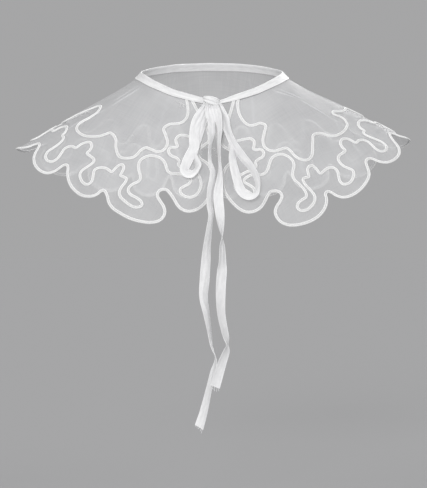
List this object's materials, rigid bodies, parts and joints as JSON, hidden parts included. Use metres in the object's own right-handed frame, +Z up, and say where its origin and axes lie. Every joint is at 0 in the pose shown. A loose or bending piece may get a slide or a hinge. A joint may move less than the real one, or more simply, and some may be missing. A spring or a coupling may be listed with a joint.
{
  "type": "detachable collar",
  "caption": "Sheer scalloped cape collar with winding cord ornament, a ribbon-bound neck and a ribbon bow with long ends, in its worn form.",
  "frame": {"origin": "the middle of the neck opening, where the collar sits on its wearer", "axes": "+Z up along the neck, -Y towards the front, where the bow is tied, +X to the picture's right"},
  "size_m": [0.3956, 0.2608, 0.3597],
  "materials": {
    "organza": "sheer crisp organza",
    "cord": "satin soutache cord",
    "ribbon": "fine cross-ribbed ribbon"
  },
  "bodies": {
    "root": {"collar_body": "organza", "edge_cord": "cord", "upper_wave_cord": "cord", "cloud_cord": "cord", "neck_binding": "ribbon", "bow_knot": "ribbon", "bow_loop_left": "ribbon", "bow_loop_right": "ribbon", "tie_tail_left": "ribbon", "tie_tail_right": "ribbon"}
  },
  "joints": []
}
